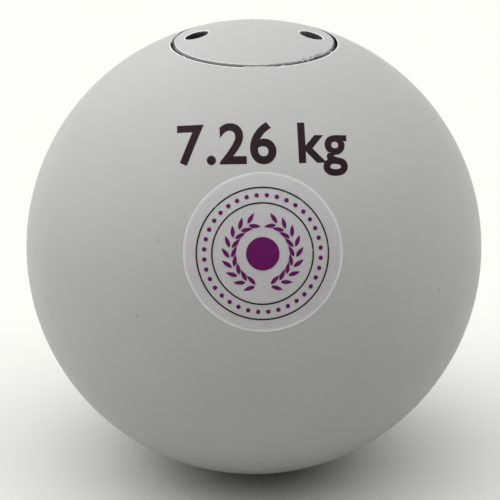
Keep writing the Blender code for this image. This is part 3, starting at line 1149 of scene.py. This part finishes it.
def paint_finish(name):
    """Silver-grey paint with a faint orange peel. By the piece's masks it is worn to a lighter copy of
    the paint, bare metal with a painted highlight, gives way to turned steel inside, and is grimy and
    darkened by painted shade."""
    tones = sizes("finish")
    finish = Finish(name)
    machined, grime_and_shade = finish.attribute("machined"), broken_grime_and_shade(finish)
    fine, rings = finish.noise(2.5 * MM, 4.0), lathe_rings(finish)

    paint = sprayed_paint(finish, tones.paint, fine)
    steel = finish.mix(rings, shaded(tones.steel, 0.75), shaded(tones.steel, 1.1))
    steel = finish.mix(finish.ramp(fine, 0.45, 0.7, 0.0, 0.5), steel, shaded(tones.steel, 0.45))
    frayed = finish.ramp(finish.noise(0.35 * MM, 3.0), 0.3, 0.7, -0.35, 0.25)
    bare_and_highlit = finish.ramp(finish.math("ADD", finish.attribute("worn_and_highlit"), frayed), 0.45, 0.62)
    tone = finish.mix(machined, paint, steel)
    # Worn places take a lighter copy of the paint, which is also a painted highlight
    tone = finish.mix(bare_and_highlit, tone, shaded(tones.paint, 1.75))
    # Grime and painted shade take the near-black tone
    tone = finish.mix(grime_and_shade, tone, GRIME_AND_SHADE_TONE)

    rough = finish.ramp(finish.noise(6 * MM, 4.0), 0.2, 0.8, 0.34, 0.42)
    peel = finish.bump(finish.noise(1.6 * MM, 2.0), 0.006 * MM)
    finish.set(
        Base_Color=tone,
        Metallic=finish.math("MULTIPLY", machined, finish.ramp(grime_and_shade, 0, 1, 1.0, 0.1)),
        Roughness=finish.blend(grime_and_shade, rough, 0.9),
        Specular_IOR_Level=0.12,
        Normal=finish.bump(finish.math("MULTIPLY", rings, machined), 0.02 * MM, peel),
    )
    return finish.material


def rubber_finish(name):
    """Black rubber, a little dusty, with a fine matt skin."""
    tone = sizes("finish").rubber
    finish = Finish(name)
    dust = finish.ramp(finish.noise(3 * MM, 5.0), 0.4, 0.8, 0.0, 0.5)
    skin = finish.bump(finish.noise(0.25 * MM, 3.0), 0.02 * MM)
    finish.set(
        Base_Color=finish.mix(dust, shaded(tone, 0.8), shaded(tone, 2.5)),
        Roughness=finish.ramp(dust, 0, 0.5, 0.55, 0.8),
        Normal=skin,
    )
    return finish.material


def lead_finish(name):
    """Cast lead: dull blue-grey, with oxide clouds, brighter scratches and a dented skin."""
    tone = sizes("finish").lead
    finish = Finish(name)
    clouds = finish.ramp(finish.noise(6 * MM, 6.0), 0.35, 0.7)
    dents = finish.noise(1.2 * MM, 4.0)
    finish.set(
        Base_Color=finish.mix(clouds, shaded(tone, 0.7), shaded(tone, 1.5)),
        Metallic=0.85,
        Roughness=finish.ramp(clouds, 0, 1, 0.62, 0.45),
        Normal=finish.bump(dents, 0.08 * MM),
    )
    return finish.material


def film_finish(name):
    """Clear film over the paint, a little cooler than it, and whiter at its cut edge, partly a painted
    highlight, and at its creases, a painted highlight.
    """
    tone = sizes("finish").film
    finish = Finish(name)
    edge = finish.attribute("edge")
    haze = finish.ramp(finish.noise(4 * MM, 4.0), 0.3, 0.7, 0.17, 0.22)
    finish.set(
        Base_Color=finish.mix(edge, tone, (0.95, 0.95, 0.95)),
        Roughness=finish.ramp(finish.noise(5 * MM, 3.0), 0.3, 0.7, 0.22, 0.30),
        Alpha=finish.blend(edge, haze, 0.5),
        Normal=finish.bump(finish.noise(2.2 * MM, 2.0), 0.01 * MM),
    )
    return finish.material


def ink_finish(name, tone):
    """Printed ink, thinner here and there, so that it varies a little."""
    finish = Finish(name)
    thin = finish.ramp(finish.noise(0.8 * MM, 5.0), 0.35, 0.75, 0.0, 0.5)
    finish.set(
        Base_Color=finish.mix(thin, tone, shaded(tone, 1.5)),
        Roughness=finish.ramp(thin, 0, 0.5, 0.5, 0.62),
        Specular_IOR_Level=0.1,
        Normal=finish.bump(finish.noise(0.3 * MM, 2.0), 0.004 * MM),
    )
    return finish.material


def purple_finish(name):
    """The label's purple ink."""
    return ink_finish(name, sizes("finish").purple)


def dark_finish(name):
    """The dark ink of the rings and the mass."""
    return ink_finish(name, sizes("finish").dark)


FINISHES = {
    "silver_grey_paint": paint_finish,
    "black_rubber": rubber_finish,
    "cast_lead": lead_finish,
    "clear_film": film_finish,
    "purple_ink": purple_finish,
    "dark_ink": dark_finish,
}


def material_for(slot):
    """The finish of one of the record's slots, made when it is first asked for."""
    name = f"{slot}_finish"
    return bpy.data.materials.get(name) or FINISHES[slot](name)


# Operators

class ShotOperator:
    """What every operator of the ball shares"""

    bl_options = {"REGISTER", "UNDO"}

    def attach(self, piece, body, slot, *replaced):
        """Ties a finished piece to its body, and hides the nodes that it stands for. The slot is not
        used.
        """
        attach(piece, body)
        if replaced:
            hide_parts(*replaced)


class SHOT_OT_ball(ShotOperator, bpy.types.Operator):
    """Makes the painted ball with its cavity, thread and mouth"""

    bl_idname = "shot.ball"
    bl_label = "Ball"

    def execute(self, context):
        self.attach(make_ball(material_for("silver_grey_paint")), "ball", "silver_grey_paint", "shell")
        return {"FINISHED"}


class SHOT_OT_plug(ShotOperator, bpy.types.Operator):
    """Makes the screw plug with its spanner holes and thread"""

    bl_idname = "shot.plug"
    bl_label = "Closing plug"

    def execute(self, context):
        piece = make_plug(material_for("silver_grey_paint"))
        self.attach(piece, "plug", "silver_grey_paint", "closing_plug")
        return {"FINISHED"}


class SHOT_OT_seal(ShotOperator, bpy.types.Operator):
    """Makes the rubber seal ring under the plug's head"""

    bl_idname = "shot.seal"
    bl_label = "Seal ring"

    def execute(self, context):
        self.attach(make_seal(material_for("black_rubber")), "seal", "black_rubber", "seal_ring")
        return {"FINISHED"}


class SHOT_OT_filling(ShotOperator, bpy.types.Operator):
    """Makes the packing, the trim discs and the cast lead in the cavity"""

    bl_idname = "shot.filling"
    bl_label = "Filling"

    def execute(self, context):
        lead, dents = material_for("cast_lead"), sizes("filling").dents
        packing = make_disc("packing", "packing_disc", material_for("black_rubber"), dents / 4, 19)
        self.attach(packing, "ball", "black_rubber", "packing_disc")
        for seed, size in enumerate(("thin", "middle", "thick")):
            disc = make_disc(f"trim_{size}", f"trim_disc_{size}", lead, dents, seed)
            self.attach(disc, "ball", "cast_lead", f"trim_disc_{size}")
        self.attach(make_lead_core(lead), "ball", "cast_lead", "lead_core")
        return {"FINISHED"}


class SHOT_OT_label(ShotOperator, bpy.types.Operator):
    """Makes the round film label and what is printed on it"""

    bl_idname = "shot.label"
    bl_label = "Label"

    def execute(self, context):
        self.attach(make_film(material_for("clear_film")), "ball", "clear_film", "round_label")
        for piece in make_label_prints(material_for("purple_ink"), material_for("dark_ink")):
            slot = "dark_ink" if piece.name.startswith("ring_") else "purple_ink"
            self.attach(piece, "ball", slot)
        return {"FINISHED"}


class SHOT_OT_mark(ShotOperator, bpy.types.Operator):
    """Prints the mass on the paint above the label"""

    bl_idname = "shot.mark"
    bl_label = "Mass mark"

    def execute(self, context):
        self.attach(make_mass_mark(material_for("dark_ink")), "ball", "dark_ink")
        return {"FINISHED"}


FLOOR_TONE = (0.59, 0.582, 0.55, 1.0)
# Radii of the floor's rows, as shares of its own
FLOOR_RINGS = (0, 0.02, 0.05, 0.1, 0.25, 0.5, 1.0)
# How far the camera's picture is shifted across and up, as a share of its width
CAMERA_SHIFT = (-0.0079, -0.0068)
SKY_TONE = 0.75
SKY_PATCHES = (
    # elevation, bearing, inner and outer angle in degrees, and strength
    (20, 0, 35, 65, -0.62),
    (5, 0, 0, 45, -0.10),
    (50, 180, 0, 50, -0.08),
    (60, 90, 0, 50, 0.84),
    (30, 90, 0, 60, 0.51),
    (10, 75, 0, 45, -0.60),
    (0, 90, 0, 40, -0.42),
    (30, -90, 0, 60, 0.67),
    (60, -74, 0, 48, 0.83),
    (10, -75, 0, 45, -0.25),
    (60, -130, 0, 50, 0.88),
    (15, -135, 0, 50, 0.10),
    (70, 0, 0, 40, 1.10),
    (45, -45, 0, 40, 0.07),
)


def make_floor(radius):
    """A plain pale floor that the ball stands on."""
    finish = Finish("pale_floor")
    finish.set(Base_Color=FLOOR_TONE, Roughness=0.85, Specular_IOR_Level=0.2)
    section = np.array([(radius * share, -BALL_RADIUS) for share in FLOOR_RINGS])
    grid = turned_points(*spread(section, 96))
    grid_piece("floor", grid, finish.material)


def make_sky():
    """Soft studio surroundings: an even tone, and on it wide soft patches, each brighter or darker
    by its strength inside its inner angle and fading out at its outer angle."""
    world = bpy.data.worlds.new("studio")
    bpy.context.scene.world = world
    sky = Nodes(world, "Background", "Generated")
    total = SKY_TONE
    for elevation, bearing, inner, outer, strength in SKY_PATCHES:
        middle = direction(math.radians(elevation), math.radians(bearing))
        toward = sky.node("ShaderNodeVectorMath", {0: sky.place, 1: middle}, operation="DOT_PRODUCT")
        limits = math.cos(math.radians(outer)), math.cos(math.radians(inner))
        patch = sky.ramp(toward.outputs["Value"], *limits, 0.0, strength, smooth=True)
        total = sky.math("ADD", patch, total)
    sky.set(Strength=sky.math("MAXIMUM", total, 0.0), Color=(1.0, 1.0, 1.0, 1.0))


class SHOT_OT_stage(ShotOperator, bpy.types.Operator):
    """Sets up the floor, the light and the camera"""

    bl_idname = "shot.stage"
    bl_label = "Stage"

    def execute(self, context):
        studio = sizes("studio")
        make_floor(studio.floor_radius)
        make_sky()
        camera = bpy.data.cameras.new("camera")
        camera.sensor_fit = "HORIZONTAL"
        camera.sensor_width = 36.0
        camera.lens = studio.lens
        camera.shift_x, camera.shift_y = CAMERA_SHIFT
        camera.clip_start, camera.clip_end = 0.01, 20.0
        holder = bpy.data.objects.new("camera", camera)
        rise = studio.elevation
        holder.location = (0, -studio.distance * math.cos(rise), studio.distance * math.sin(rise))
        holder.rotation_euler = (math.pi / 2 - rise, 0, 0)
        context.scene.collection.objects.link(holder)
        context.scene.camera = holder
        context.scene.view_settings.view_transform = "Standard"
        return {"FINISHED"}


class SHOT_PT_panel(bpy.types.Panel):
    """Sizes, colours and buttons of the ball"""

    bl_idname = "SHOT_PT_panel"
    bl_label = "Shot put ball"
    bl_space_type = "VIEW_3D"
    bl_region_type = "UI"
    bl_category = "Shot put ball"

    def draw(self, context):
        for operator in OPERATORS:
            self.layout.operator(operator.bl_idname)
        for group in GROUPS:
            box = self.layout.box()
            box.label(text=group.capitalize())
            for name in GROUPS[group].__annotations__:
                box.prop(sizes(group), name)


GROUPS = {
    "thread": ShotThread,
    "mouth": ShotMouth,
    "filling": ShotFilling,
    "label": ShotLabel,
    "mark": ShotMark,
    "finish": ShotFinish,
    "studio": ShotStudio,
}
OPERATORS = (
    SHOT_OT_ball,
    SHOT_OT_plug,
    SHOT_OT_seal,
    SHOT_OT_filling,
    SHOT_OT_label,
    SHOT_OT_mark,
    SHOT_OT_stage,
)


def register():
    """Registers the classes and hangs the property groups on the scene."""
    for made in (*GROUPS.values(), *OPERATORS, SHOT_PT_panel):
        bpy.utils.register_class(made)
    for group, made in GROUPS.items():
        setattr(bpy.types.Scene, f"shot_{group}", PointerProperty(type=made))


def unregister():
    """Takes the property groups off the scene and the classes out of Blender."""
    for group in GROUPS:
        delattr(bpy.types.Scene, f"shot_{group}")
    for made in reversed((*GROUPS.values(), *OPERATORS, SHOT_PT_panel)):
        bpy.utils.unregister_class(made)


def main():
    """Makes every piece."""
    register()
    for operator in OPERATORS:
        prefix, name = operator.bl_idname.split(".")
        if getattr(getattr(bpy.ops, prefix), name)() != {"FINISHED"}:
            raise RuntimeError(f"{operator.bl_idname} didn't finish")


if __name__ == "__main__":
    main()
